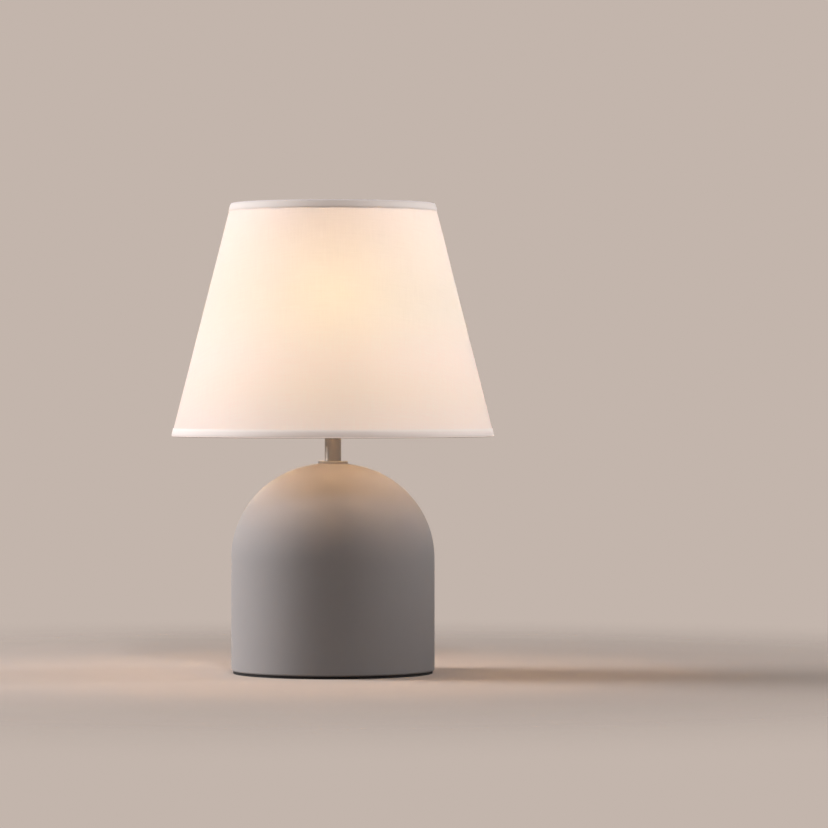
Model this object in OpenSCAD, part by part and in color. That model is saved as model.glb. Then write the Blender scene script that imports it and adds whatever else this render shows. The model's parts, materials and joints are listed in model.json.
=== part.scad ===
// Table lamp: a round matte ceramic base, a short metal neck and a tapered fabric shade.
// All lengths are in millimetres. The lamp stands on z = 0, and Z is its axis.
// The front is at -Y. The cord outlet and the seam of the shade are at the back, at +Y.

/* [Ceramic base] */
// Outer diameter of the dome
base_d = 157; // [140:1:176]
// Height of the dome, from its lower rim to the flat seat on its crown
dome_h = 159.4; // [150:0.1:180]
// Distance of the shoulder arc's centre from the lamp's axis
shoulder_offset = 5.5; // [3:0.5:8]
// How much larger the crown's radius is than the shoulder's
crown_extra = 19; // [14:1:24]
// Wall of the dome
dome_wall = 6; // [4.5:0.5:8]
// Thickness of the dome under the washer on its crown
crown_wall = 6.4; // [6:0.1:8]
// Rounding of the dome's lower outer edge
rim_round = 1.5; // [0.5:0.5:3]
// Thickness of the foam pad under the dome
pad_t = 2; // [1:0.5:4]
// How far the pad's edge stays inside the dome's edge
pad_inset = 1.5; // [0.5:0.5:4]
// Thickness of the steel base plate
plate_t = 2; // [1.5:0.5:4]
// How far the base plate laps under the dome's wall
plate_lap = 2; // [1:0.5:3]

/* [Cord outlet] */
// Height of the outlet's centre above the base plate
outlet_rise = 12; // [10:1:30]
// Bore of the grommet, for a round two-core lead
cord_bore_d = 7; // [6:0.5:8]
// Wall of the grommet around its bore
grommet_wall = 2; // [1.5:0.5:3]
// How far the grommet's flanges reach past its hole
grommet_lip = 2.2; // [1.5:0.1:4]
// Thickness of the grommet's flanges
grommet_lip_t = 1.6; // [1:0.1:3]

/* [Terminal block] */
// Distance of the block's centre behind the lamp's axis
block_y = 35; // [28:1:45]
// Distance between the two poles
pole_pitch = 14; // [13:0.5:18]
// Width of each pole's housing
pole_w = 8; // [7:0.5:9]
// Length of the block, along the leads
block_l = 17; // [14:1:24]
// Height of the pole housings
block_h = 12; // [11:0.5:16]
// Height of the web between the poles
web_h = 5; // [3:0.5:8]
// Width of each brass terminal
terminal_w = 5; // [4.5:0.1:5.5]
// Height of each brass terminal
terminal_h = 8; // [7:0.5:8.5]
// How far each brass terminal stays inside the block's ends
terminal_recess = 1.5; // [1:0.5:3]
// Bore of each brass terminal
terminal_bore_d = 3.2; // [2.8:0.1:3.4]
// Distance between the two screws of a pole
terminal_screw_pitch = 8; // [6:0.5:9]
// Thickness of the block under its terminals
block_floor = 1.5; // [1:0.25:2.5]

/* [Neck] */
// Outer diameter of the hollow threaded rod
rod_d = 10; // [9:0.5:11]
// Bore of the threaded rod
rod_bore_d = 7.6; // [7:0.2:8]
// Length of the rod that shows below its nut
rod_tail = 3; // [1:0.5:8]
// Outer diameter of the neck tube
neck_d = 12.7; // [12:0.1:16]
// Length of the neck tube
neck_len = 22.4; // [15:0.1:60]
// Diameter of the washer between dome and neck
neck_washer_d = 23; // [20:0.5:30]
// Thickness of the washer between dome and neck
neck_washer_t = 2.2; // [1.5:0.1:4]
// Chamfer on the neck washer's upper edge
neck_washer_chamfer = 0.4; // [0.2:0.1:0.8]
// Flat on the crown around the neck washer
seat_margin = 0.5; // [0.2:0.1:2]
// Diameter of the washer under the crown
inner_washer_d = 26; // [22:0.5:28]
// Thickness of the washer under the crown
inner_washer_t = 2; // [1.5:0.5:3]
// Width across the flats of the rod's nut
nut_af = 14; // [13:0.5:17]
// Height of the rod's nut
nut_h = 4; // [3:0.5:6]

/* [Lampholder] */
// Height of the lampholder, from the neck to its rim
holder_h = 56; // [54:0.5:62]
// Outer diameter of the holder's cap
holder_cap_d = 43; // [42:0.5:46]
// Height of the holder's cap, up to the shoulder that carries the rings
holder_cap_h = 22; // [21:0.5:24]
// Diameter of the boss at the foot of the cap
boss_d = 24; // [22:0.5:27]
// Height of the straight part of the boss
boss_h = 6; // [5:0.5:6.5]
// Height of the cap's floor, which is the rod's thread length
floor_h = 8; // [7:0.5:9]
// Height at which the cap reaches its full width
cap_cone_h = 14; // [12:0.5:16]
// Height of the ledge that carries the insert
ledge_h = 14; // [13.5:0.5:15]
// Radius of the cap's room below the ledge
ledge_r = 14.6; // [14.5:0.1:15]
// Bore of the cap above the ledge
cap_bore_d = 34.6; // [34.4:0.2:36]
// Diameter of the thread on the holder's shell
shell_d = 39.5; // [39:0.1:40]
// Pitch of the thread on the holder's shell
shell_pitch = 2.5; // [2:0.1:3]
// Depth of the thread on the holder's shell
shell_thread_depth = 0.7; // [0.4:0.1:0.9]
// Diameter of the holder's bore for the bulb's cap
lamp_bore_d = 27; // [26.9:0.1:28]
// Bore of the shell around the insert
shell_room_d = 31.6; // [31.4:0.1:32]
// Flange thickness of the insert
insert_flange_t = 2; // [1.5:0.5:2.5]
// Height of the insert above its flange
insert_h = 9; // [8:0.5:9.5]
// Distance of each holder screw from the axis
holder_screw_y = 9; // [8.6:0.1:9.4]
// Thickness of the brass contacts
contact_t = 0.5; // [0.4:0.1:0.8]
// Width of the brass contacts
contact_w = 5; // [4.5:0.5:6]

/* [Shade rings] */
// Outer diameter of both rings
ring_d = 48; // [47:0.5:50]
// Height of the lower ring
lower_ring_h = 4; // [3:0.5:6]
// Height of the clamp ring
clamp_ring_h = 12; // [8:0.5:14]
// Height of the clamp ring's flange
clamp_flange_h = 2.5; // [2:0.5:4]
// Wall of the clamp ring above its flange
clamp_wall = 2; // [1.5:0.5:2.5]
// Number of grip ribs on the clamp ring
grip_count = 24; // [12:1:36]
// Depth of each grip rib
grip_depth = 0.8; // [0.4:0.1:1]
// Width of each grip rib
grip_w = 1.6; // [1:0.1:2]

/* [Shade] */
// Diameter at the lower edge
shade_bottom_d = 250; // [200:1:320]
// Diameter at the upper edge
shade_top_d = 158; // [130:1:200]
// Height of the shade
shade_h = 180.3; // [160:0.1:260]
// Thickness of the woven fabric
fabric_t = 0.5; // [0.4:0.1:1]
// Thickness of the film behind the fabric
liner_t = 0.35; // [0.2:0.05:0.6]
// Width of the overlap at the back seam
seam_w = 9; // [6:1:20]
// Height of the folded trim at both edges
hem_h = 6.5; // [6:0.5:12]
// Thickness of the folded trim
hem_t = 0.4; // [0.3:0.1:0.8]
// Diameter of the ring wires in both edges
wire_d = 3; // [2:0.5:4]
// Height of the fitter ring above the shade's lower edge
fitter_recess = 29.7; // [20:0.1:45]
// Bore of the fitter ring
fitter_bore_d = 42; // [41.5:0.5:43]
// Outer diameter of the fitter ring
fitter_d = 60; // [58:1:70]
// Thickness of the fitter ring
fitter_t = 1.2; // [1:0.1:2]
// Diameter of the fitter arms
arm_d = 3.5; // [3:0.5:5]
// Number of fitter arms
arm_count = 3; // [3:1:6]

/* [Bulb] */
// Diameter of the globe
globe_d = 60; // [55:1:70]
// Length of the bulb, from its tip to the top of the globe
bulb_len = 104; // [98:1:120]
// Height of the globe's open edge above the tip
globe_edge_h = 54.2; // [52:0.2:56]
// Wall of the globe
globe_wall = 1.2; // [0.8:0.1:2]
// Wall of the plastic housing
housing_wall = 1.2; // [0.8:0.1:2]
// Radius of the housing at its lower end
housing_r = 14.5; // [14:0.1:16]
// Height of the housing's lower end above the tip
housing_start_h = 27.5; // [27.5:0.5:29]
// Length of the metal cap above the tip that goes into the holder
cap_len = 27; // [26.5:0.1:27]
// Largest diameter of the cap's thread
cap_thread_d = 26.2; // [26:0.1:26.4]
// Depth of the cap's thread
cap_thread_depth = 1; // [0.6:0.1:1.2]
// Pitch of the cap's thread
cap_pitch = 3.629; // [3.5:0.01:3.8]
// Number of turns of thread on the cap
cap_turns = 5; // [4:1:5]
// Wall of the metal cap
cap_wall = 0.4; // [0.3:0.1:0.5]
// Number of light chips on the board
chip_count = 12; // [6:1:16]

/* [Fasteners and leads] */
// Diameter of the M3 screws
screw_d = 3; // [2.5:0.1:3]
// Diameter of the screw heads
screw_head_d = 5.4; // [5:0.1:5.4]
// Height of the screw heads
screw_head_h = 2; // [1.5:0.1:2]
// Diameter of the insulated inner leads
lead_d = 2.6; // [2:0.1:2.6]
// Distance of each lead from the axis inside the rod
lead_r = 1.7; // [1.5:0.1:1.8]

/* [Hidden] */

$fn = 96;

// Overrun of every cut
cut = 1;
// Radial clearance of a screw in its thread or a part in its bore
fit_gap = 0.05;
// Clearance of a piece that is slid or dropped into its place
slide_gap = 0.1;
// Axial clearance of the fitter ring between the two rings
turn_gap = 0.2;
// Clearance between pieces that are brought close but move apart
move_gap = 0.3;
// Film of adhesive between the layers of the shade
bond_gap = 0.05;
// Depth to which an arm is flattened where it is welded to the fitter ring
weld_sink = 0.3;

// Heights of the stack, from the table up
plate_top_z = pad_t + plate_t;
seat_z = pad_t + dome_h;
neck_z = seat_z + neck_washer_t;
holder_z = neck_z + neck_len;
ring_z = holder_z + holder_cap_h;
fitter_z = ring_z + lower_ring_h + turn_gap;
clamp_z = fitter_z + fitter_t + turn_gap;
rim_z = holder_z + holder_h;
bulb_z = rim_z - cap_len;
shade_z = fitter_z - fitter_recess;

// Arcs of the dome: a crown on the axis that runs smoothly into a shoulder beside it
base_r = base_d / 2;
seat_r = neck_washer_d / 2 + seat_margin;
shoulder_r = base_r - shoulder_offset;
crown_r = shoulder_r + crown_extra;
crown_z = seat_z - sqrt(pow(crown_r, 2) - pow(seat_r, 2));
crown_drop = sqrt(pow(crown_extra, 2) - pow(shoulder_offset, 2));
shoulder_z = crown_z + crown_drop;
cavity_r = base_r - dome_wall;
plate_r = cavity_r + plate_lap;

// Rod, from below its nut up into the holder
inner_seat_z = seat_z - crown_wall;
nut_z = inner_seat_z - inner_washer_t - nut_h;
rod_z = nut_z - rod_tail;
rod_top_z = holder_z + floor_h;
rod_hole_r = rod_d / 2 + fit_gap;

// Grommet
outlet_z = plate_top_z + outlet_rise;
grommet_r = cord_bore_d / 2 + grommet_wall;
grommet_lip_r = grommet_r + grommet_lip;

// Terminal block
pole_x = pole_pitch / 2;
block_w = pole_pitch + pole_w;
terminal_l = block_l - 2 * terminal_recess;
terminal_z = plate_top_z + block_floor;
terminal_bore_z = terminal_z + terminal_w / 2;
access_d = screw_d + 4 * slide_gap;
screw_bite = 0.5;
driver_slot = screw_d / 4;

// Lampholder
holder_r = holder_cap_d / 2;
shell_r = shell_d / 2;
ring_bore_r = shell_r + slide_gap;
clamp_bore_r = shell_r + move_gap;
insert_z = holder_z + ledge_h;
insert_top_z = insert_z + insert_flange_t + insert_h;
room_top_z = bulb_z;
contact_foot_z = insert_top_z + contact_t;
boss_chamfer = 1;
slot_w = contact_w + 2 * move_gap;
slot_h = 8;

// Shade: heights are measured from its lower edge, depths inwards from its outer face
panel_t = fabric_t + bond_gap + liner_t;
wire_r = wire_d / 2;
wire_depth = hem_t + panel_t + 2 * bond_gap + wire_r;
wire_rise = hem_t + bond_gap + wire_r;
hem_depth = wire_depth + wire_r + bond_gap + hem_t;
panel_rise = hem_t + bond_gap;
arm_r = arm_d / 2;
arm_z = fitter_z - arm_r + weld_sink;
arm_start_r = ring_d / 2 + 4 * move_gap;
elbow_r = fitter_d / 2;

function shade_r(h) = (shade_bottom_d + (shade_top_d - shade_bottom_d) * h / shade_h) / 2;
function shade_point(h, depth) = [shade_r(h) - depth, shade_z + h];

// Points of an arc in the plane of an outline, with both ends
function arc(x, y, r, from, to, steps) =
    [for (i = [0:steps]) let (a = from + (to - from) * i / steps) [x + r * cos(a), y + r * sin(a)]];

// Pipe, standing on z = 0
module pipe(outer_r, inner_r, h) {
    difference() {
        cylinder(r = outer_r, h = h);
        translate([0, 0, -cut]) cylinder(r = inner_r, h = h + 2 * cut);
    }
}

// Cylinder along +Y that starts at y = 0
module along_y(r, l) {
    rotate([-90, 0, 0]) cylinder(r = r, h = l);
}

// Half outline of the dome, right of its axis, drawn in by inset and cut off at top_z
module dome_outline(inset, top_z) {
    wedge_h = crown_r + cut;
    intersection() {
        translate([0, pad_t]) square([base_r, top_z - pad_t]);
        union() {
            translate([0, pad_t]) square([base_r - inset, shoulder_z - pad_t]);
            intersection() {
                translate([shoulder_offset, shoulder_z]) circle(r = shoulder_r - inset);
                translate([0, shoulder_z]) square([base_r, crown_r]);
            }
            intersection() {
                translate([0, crown_z]) circle(r = crown_r - inset);
                polygon([
                    [0, crown_z],
                    [shoulder_offset * wedge_h / crown_drop, crown_z + wedge_h],
                    [0, crown_z + wedge_h]
                ]);
            }
        }
    }
}

module foot_pad() {
    color("#1c1b1b") cylinder(r = base_r - pad_inset, h = pad_t);
}

module base_plate() {
    color("#8c8f92") translate([0, 0, pad_t]) difference() {
        cylinder(r = plate_r, h = plate_t);
        translate([0, block_y, -cut]) cylinder(d = screw_d + 2 * fit_gap, h = plate_t + 2 * cut);
    }
}

module base_dome() {
    rebate_r = plate_r + slide_gap;
    color("#928a86") difference() {
        rotate_extrude() difference() {
            dome_outline(0, seat_z);
            translate([base_r - rim_round, pad_t]) difference() {
                translate([0, -cut]) square([rim_round + cut, rim_round + cut]);
                polygon(concat([[0, rim_round + cut]], [[0, 0]], arc(0, rim_round, rim_round, -90, 0, 6),
                    [[rim_round, rim_round + cut]]));
            }
        }
        rotate_extrude() dome_outline(dome_wall, inner_seat_z);
        translate([0, 0, pad_t - cut]) cylinder(r = rebate_r, h = plate_t + cut);
        translate([0, 0, inner_seat_z - cut]) cylinder(r = rod_hole_r, h = crown_wall + 2 * cut);
        translate([0, 0, outlet_z]) along_y(grommet_r + slide_gap, base_r + cut);
    }
}

module cord_grommet() {
    inner_face = cavity_r - grommet_lip_t;
    length = dome_wall + 2 * grommet_lip_t;
    color("#242322") difference() {
        translate([0, inner_face, outlet_z]) union() {
            along_y(grommet_r, length);
            along_y(grommet_lip_r, grommet_lip_t);
            translate([0, length - grommet_lip_t - grommet_lip_t, 0])
                along_y(grommet_lip_r, 2 * grommet_lip_t);
        }
        translate([0, inner_face - cut, outlet_z]) along_y(cord_bore_d / 2, length + 2 * cut);
        difference() {
            translate([0, 0, outlet_z - grommet_lip_r - cut])
                pipe(base_r + slide_gap, cavity_r - slide_gap, 2 * (grommet_lip_r + cut));
            translate([0, 0, outlet_z]) along_y(grommet_r, base_r + cut);
        }
    }
}

module terminal_block() {
    color("#d8d4c8") difference() {
        union() {
            for (side = [-1, 1])
                translate([side * pole_x - pole_w / 2, block_y - block_l / 2, plate_top_z])
                    cube([pole_w, block_l, block_h]);
            translate([-pole_x, block_y - block_l / 2, plate_top_z])
                cube([pole_pitch, block_l, web_h]);
        }
        for (side = [-1, 1]) translate([side * pole_x, block_y, 0]) {
            translate([-terminal_w / 2 - slide_gap, -block_l / 2 - cut, terminal_z])
                cube([terminal_w + 2 * slide_gap, block_l + 2 * cut, terminal_h + slide_gap]);
            for (end = [-1, 1])
                translate([0, end * terminal_screw_pitch / 2, terminal_z + terminal_h])
                    cylinder(d = access_d, h = block_h);
        }
        translate([0, block_y, plate_top_z - cut])
            cylinder(d = screw_d + 2 * slide_gap, h = web_h + 2 * cut);
    }
}

module brass_terminals() {
    color("#c7a24e") for (side = [-1, 1]) translate([side * pole_x, block_y, terminal_z])
        difference() {
            translate([-terminal_w / 2, -terminal_l / 2, 0])
                cube([terminal_w, terminal_l, terminal_h]);
            translate([0, -terminal_l / 2 - cut, terminal_w / 2])
                along_y(terminal_bore_d / 2, terminal_l + 2 * cut);
            for (end = [-1, 1]) translate([0, end * terminal_screw_pitch / 2, terminal_w / 2])
                cylinder(d = screw_d + 2 * fit_gap, h = terminal_h);
        }
}

module terminal_screws() {
    tip_rise = terminal_w / 2 + terminal_bore_d / 2 - screw_bite;
    top_rise = block_h - block_floor - screw_bite;
    color("#b9bcc0") for (side = [-1, 1], end = [-1, 1])
        translate([side * pole_x, block_y + end * terminal_screw_pitch / 2, terminal_z + tip_rise])
            difference() {
                cylinder(d = screw_d, h = top_rise - tip_rise);
                translate([-screw_d, -driver_slot / 2, top_rise - tip_rise - driver_slot])
                    cube([2 * screw_d, driver_slot, driver_slot + cut]);
            }
}

module block_screw() {
    shank_z = pad_t + slide_gap;
    head_z = plate_top_z + web_h;
    color("#b9bcc0") translate([0, block_y, 0]) difference() {
        union() {
            translate([0, 0, shank_z]) cylinder(d = screw_d, h = head_z - shank_z);
            translate([0, 0, head_z]) cylinder(d = screw_head_d, h = screw_head_h);
        }
        translate([-screw_head_d, -driver_slot / 2, head_z + screw_head_h - driver_slot])
            cube([2 * screw_head_d, driver_slot, driver_slot + cut]);
    }
}

// Route of one lead, from the block's face to a screw of the holder. side is -1 or 1.
// Each row gives the shares of: the pole's distance, a quarter turn, the way to the block, the climb.
lead_route_shares = [
    [1, 0, 1, 0], [1, 0, 0.75, 0], [0.97, 0, 0.5, 0.02], [0.9, 0, 0.28, 0.07],
    [0.8, 0.03, 0.12, 0.14], [0.66, 0.1, 0.03, 0.23], [0.5, 0.22, 0, 0.34], [0.36, 0.38, 0, 0.46],
    [0.23, 0.56, 0, 0.58], [0.12, 0.75, 0, 0.7], [0.04, 0.92, 0, 0.82], [0, 1, 0, 0.92], [0, 1, 0, 1]
];
lead_face_y = block_y - terminal_l / 2 - move_gap;
lead_low = [
    for (s = lead_route_shares)
        let (away = lead_r + (pole_x - lead_r) * s[0], turn = 90 * s[1])
        [away * cos(turn), away * sin(turn), lead_face_y * s[2],
            terminal_bore_z + (rod_z - terminal_bore_z) * s[3]]
];
lead_end_y = holder_screw_y - screw_head_d / 2 - move_gap;
lead_end_z = insert_z - lead_d / 2 - move_gap;
function lead_route(side) = concat(
    [for (p = lead_low) [side * p[0], side * p[1] + p[2], p[3]]],
    [
        [0, side * lead_r, rod_top_z - lead_d],
        [0, side * (lead_r + lead_d / 8), rod_top_z],
        [0, side * (lead_r + lead_end_y) / 2, (rod_top_z + lead_end_z) / 2 + lead_d / 3],
        [0, side * lead_end_y, lead_end_z]
    ]
);

// Tube along a route, with a ring of sides at each point. The route never runs along X.
function unit(v) = v / norm(v);
function heading(route, i) =
    unit(route[min(i + 1, len(route) - 1)] - route[max(i - 1, 0)]);
function tube_ring(route, i, r, sides) =
    let (
        ahead = heading(route, i),
        across = unit([1, 0, 0] - ahead * ahead[0]),
        up = cross(ahead, across)
    )
    [for (k = [0:sides - 1]) let (a = 360 * k / sides) route[i] + r * (cos(a) * across + sin(a) * up)];

module tube_along(route, r, sides) {
    count = len(route);
    points = [for (i = [0:count - 1]) each tube_ring(route, i, r, sides)];
    walls = [
        for (i = [0:count - 2], k = [0:sides - 1])
            let (a = i * sides + k, b = i * sides + (k + 1) % sides)
            each [[a, a + sides, b], [b, a + sides, b + sides]]
    ];
    first = [for (k = [0:sides - 1]) k];
    last = [for (k = [sides - 1:-1:0]) (count - 1) * sides + k];
    polyhedron(points = points, faces = concat([first], walls, [last]));
}

module brown_lead() {
    color("#6b3f22") tube_along(lead_route(-1), lead_d / 2, 8);
}

module blue_lead() {
    color("#2f5f9a") tube_along(lead_route(1), lead_d / 2, 8);
}

module inner_nut() {
    color("#b9bcc0") translate([0, 0, nut_z]) difference() {
        cylinder(r = nut_af / 2 / cos(30), h = nut_h, $fn = 6);
        translate([0, 0, -cut]) cylinder(r = rod_hole_r, h = nut_h + 2 * cut);
    }
}

module inner_washer() {
    color("#b9bcc0") translate([0, 0, inner_seat_z - inner_washer_t])
        pipe(inner_washer_d / 2, rod_hole_r, inner_washer_t);
}

module threaded_rod() {
    color("#a9acb0") translate([0, 0, rod_z]) pipe(rod_d / 2, rod_bore_d / 2, rod_top_z - rod_z);
}

module neck_washer() {
    washer_r = neck_washer_d / 2;
    color("#8f8783") translate([0, 0, seat_z]) rotate_extrude() polygon([
        [rod_hole_r, 0],
        [washer_r, 0],
        [washer_r, neck_washer_t - neck_washer_chamfer],
        [washer_r - neck_washer_chamfer, neck_washer_t],
        [rod_hole_r, neck_washer_t]
    ]);
}

module neck_tube() {
    color("#b5b0aa") translate([0, 0, neck_z]) pipe(neck_d / 2, rod_hole_r, neck_len);
}

module holder_cap() {
    boss_r = boss_d / 2;
    room_r = boss_r - boss_chamfer;
    grub_z = boss_h / 2;
    color("#e6e3dc") translate([0, 0, holder_z]) difference() {
        rotate_extrude() polygon([
            [rod_hole_r, 0],
            [boss_r - boss_chamfer, 0],
            [boss_r, boss_chamfer],
            [boss_r, boss_h],
            [holder_r, cap_cone_h],
            [holder_r, holder_cap_h],
            [cap_bore_d / 2, holder_cap_h],
            [cap_bore_d / 2, ledge_h],
            [ledge_r, ledge_h],
            [ledge_r, ledge_h - boss_chamfer],
            [room_r, floor_h],
            [rod_hole_r, floor_h]
        ]);
        translate([0, 0, grub_z]) along_y(screw_d / 2 + fit_gap, boss_r + cut);
    }
}

module holder_grub_screw() {
    tip_y = rod_hole_r + slide_gap;
    length = boss_d / 2 - boss_chamfer - tip_y;
    color("#3a3a3a") translate([0, tip_y, holder_z + boss_h / 2]) difference() {
        along_y(screw_d / 2, length);
        translate([-screw_d, length - driver_slot, -driver_slot / 2])
            cube([2 * screw_d, driver_slot + cut, driver_slot]);
    }
}

module holder_insert() {
    flange_r = cap_bore_d / 2 - slide_gap;
    body_r = shell_room_d / 2 - slide_gap;
    color("#f0ede6") translate([0, 0, insert_z]) difference() {
        union() {
            cylinder(r = flange_r, h = insert_flange_t);
            cylinder(r = body_r, h = insert_flange_t + insert_h);
        }
        for (side = [-1, 1]) translate([0, side * holder_screw_y, -cut])
            cylinder(d = screw_d + 2 * fit_gap, h = insert_flange_t + insert_h + 2 * cut);
    }
}

module holder_screws() {
    shank_l = insert_flange_t + insert_h + 2 * contact_t;
    color("#c7a24e") for (side = [-1, 1]) translate([0, side * holder_screw_y, insert_z])
        difference() {
            union() {
                cylinder(d = screw_d, h = shank_l);
                translate([0, 0, -screw_head_h]) cylinder(d = screw_head_d, h = screw_head_h);
            }
            translate([-screw_head_d, -driver_slot / 2, -screw_head_h - cut])
                cube([2 * screw_head_d, driver_slot, cut + driver_slot]);
        }
}

// Strip of sheet metal: an outline in the YZ plane with contact_w as its width, with a screw hole
module contact_strip(outline, hole_y) {
    difference() {
        translate([-contact_w / 2, 0, 0]) rotate([90, 0, 90]) linear_extrude(contact_w) polygon(outline);
        translate([0, hole_y, insert_top_z - cut])
            cylinder(d = screw_d + 2 * slide_gap, h = contact_t + 2 * cut);
    }
}

module centre_contact() {
    foot_end = holder_screw_y + screw_d;
    bend_y = holder_screw_y - screw_d;
    tip_half = screw_d / 2;
    tip_z = bulb_z - move_gap;
    color("#c7a24e") contact_strip([
        [foot_end, insert_top_z],
        [foot_end, contact_foot_z],
        [bend_y, contact_foot_z],
        [tip_half, tip_z],
        [-tip_half, tip_z],
        [-tip_half, tip_z - contact_t],
        [tip_half - contact_t / 2, tip_z - contact_t],
        [bend_y - contact_t / 2, insert_top_z]
    ], holder_screw_y);
}

module side_contact() {
    foot_end = screw_d - holder_screw_y;
    outer_y = -lamp_bore_d / 2 - 2 * contact_t;
    bump_y = -cap_thread_d / 2 - move_gap;
    bump_z = bulb_z + slot_h / 2;
    top_z = bulb_z + slot_h - contact_t;
    color("#c7a24e") contact_strip([
        [foot_end, insert_top_z],
        [foot_end, contact_foot_z],
        [outer_y + contact_t, contact_foot_z],
        [outer_y + contact_t, bulb_z],
        [bump_y, bump_z],
        [outer_y + contact_t, top_z],
        [outer_y, top_z],
        [bump_y - contact_t, bump_z],
        [outer_y, bulb_z],
        [outer_y, insert_top_z]
    ], -holder_screw_y);
}

// One tooth of the shell's thread starts at height z
function thread_tooth(z) = [
    [shell_r - shell_thread_depth, z],
    [shell_r - shell_thread_depth, z + shell_pitch / 4],
    [shell_r, z + shell_pitch / 2],
    [shell_r, z + shell_pitch * 3 / 4]
];

module holder_shell() {
    spigot_z = holder_z + ledge_h + insert_flange_t;
    spigot_r = cap_bore_d / 2 - slide_gap;
    rim_band = 2 * shell_pitch;
    thread_count = floor((rim_z - rim_band - ring_z) / shell_pitch);
    thread_top_z = ring_z + thread_count * shell_pitch;
    lamp_bore_r = lamp_bore_d / 2;
    color("#e6e3dc") difference() {
        rotate_extrude() polygon(concat(
            [[shell_room_d / 2, spigot_z], [spigot_r, spigot_z], [spigot_r, ring_z]],
            [for (i = [0:thread_count - 1]) each thread_tooth(ring_z + i * shell_pitch)],
            [
                [shell_r - shell_thread_depth, thread_top_z],
                [shell_r - shell_thread_depth, rim_z - boss_chamfer],
                [shell_r - shell_thread_depth - boss_chamfer, rim_z],
                [lamp_bore_r + boss_chamfer, rim_z],
                [lamp_bore_r, rim_z - boss_chamfer],
                [lamp_bore_r, room_top_z],
                [shell_room_d / 2, room_top_z - boss_chamfer]
            ]
        ));
        translate([-slot_w / 2, -shell_room_d / 2, room_top_z - 2 * boss_chamfer])
            cube([slot_w, shell_room_d / 4, slot_h + 2 * boss_chamfer]);
    }
}

module lower_ring() {
    color("#e6e3dc") translate([0, 0, ring_z]) pipe(ring_d / 2, ring_bore_r, lower_ring_h);
}

module clamp_ring() {
    sleeve_r = clamp_bore_r + clamp_wall;
    color("#e6e3dc") translate([0, 0, clamp_z]) difference() {
        union() {
            cylinder(r = ring_d / 2, h = clamp_flange_h);
            cylinder(r = sleeve_r, h = clamp_ring_h);
            for (i = [0:grip_count - 1]) rotate(360 * i / grip_count)
                translate([sleeve_r - grip_depth, -grip_w / 2, 0])
                    cube([2 * grip_depth, grip_w, clamp_ring_h - grip_depth]);
        }
        translate([0, 0, -cut]) cylinder(r = clamp_bore_r, h = clamp_ring_h + 2 * cut);
    }
}

module fitter_ring() {
    color("#eceae6") translate([0, 0, fitter_z]) pipe(fitter_d / 2, fitter_bore_d / 2, fitter_t);
}

// Ring wire in an edge of the shade; grow widens the wire itself
module ring_wire(h, grow = 0) {
    place = shade_point(h, wire_depth);
    rotate_extrude() translate(place) circle(r = wire_r + grow, $fn = 48);
}

// One fitter arm at angle 0, from under the fitter ring to the middle of the bottom ring wire
module arm(grow = 0) {
    end = shade_point(wire_rise, wire_depth);
    run = end[0] - elbow_r;
    drop = end[1] - arm_z;
    translate([arm_start_r - grow, 0, arm_z]) rotate([0, 90, 0])
        cylinder(r = arm_r + grow, h = elbow_r - arm_start_r + grow);
    translate([elbow_r, 0, arm_z]) {
        sphere(r = arm_r + grow + slide_gap);
        rotate([0, atan2(run, drop), 0]) cylinder(r = arm_r + grow, h = norm([run, drop]));
    }
}

// Places of the arms around the axis, the first at the back
module each_arm() {
    for (i = [0:arm_count - 1]) rotate(90 + 360 * i / arm_count) children();
}

module fitter_arms() {
    color("#eceae6") difference() {
        each_arm() arm();
        translate([0, 0, fitter_z]) cylinder(r = fitter_d / 2 + arm_d, h = arm_d);
        ring_wire(wire_rise, bond_gap);
    }
}

module bottom_ring_wire() {
    color("#eceae6") ring_wire(wire_rise);
}

module top_ring_wire() {
    color("#eceae6") ring_wire(shade_h - wire_rise);
}

// Half section of a layer of the shade: depth and t are measured inwards from the outer face
module layer_outline(depth, t, from_h, to_h) {
    polygon([
        shade_point(from_h, depth),
        shade_point(to_h, depth),
        shade_point(to_h, depth + t),
        shade_point(from_h, depth + t)
    ]);
}

module shade_fabric() {
    seam_angle = seam_w / shade_r(shade_h / 2) * 180 / PI;
    color("#e9d3bd") {
        rotate_extrude() layer_outline(hem_t, fabric_t, panel_rise, shade_h - panel_rise);
        rotate(90 - seam_angle / 2) rotate_extrude(angle = seam_angle)
            layer_outline(hem_t - fabric_t / 2, fabric_t, hem_h + bond_gap, shade_h - hem_h - bond_gap);
    }
}

module shade_liner() {
    color("#f4efe6") rotate_extrude()
        layer_outline(hem_t + fabric_t + bond_gap, liner_t, panel_rise, shade_h - panel_rise);
}

// Half section of a folded trim. edge is the height of its edge, and dir points into the shade.
module hem_outline(edge, dir) {
    fold = hem_t + panel_t + 2 * bond_gap + hem_t;
    corner = wire_r / 2;
    wire_top = wire_rise + wire_r + bond_gap + hem_t;
    difference() {
        polygon([
            shade_point(edge + dir * hem_h, 0),
            shade_point(edge + dir * hem_t, 0),
            shade_point(edge, hem_t),
            shade_point(edge, hem_depth - corner),
            shade_point(edge + dir * corner, hem_depth),
            shade_point(edge + dir * (wire_top - corner), hem_depth),
            shade_point(edge + dir * (wire_top + corner), fold),
            shade_point(edge + dir * hem_h, fold)
        ]);
        polygon([
            shade_point(edge + dir * hem_t, hem_t - bond_gap),
            shade_point(edge + dir * (hem_h + cut), hem_t - bond_gap),
            shade_point(edge + dir * (hem_h + cut), hem_t + panel_t + bond_gap),
            shade_point(edge + dir * hem_t, hem_t + panel_t + bond_gap)
        ]);
        translate(shade_point(edge + dir * wire_rise, wire_depth)) circle(r = wire_r + bond_gap, $fn = 48);
    }
}

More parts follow.
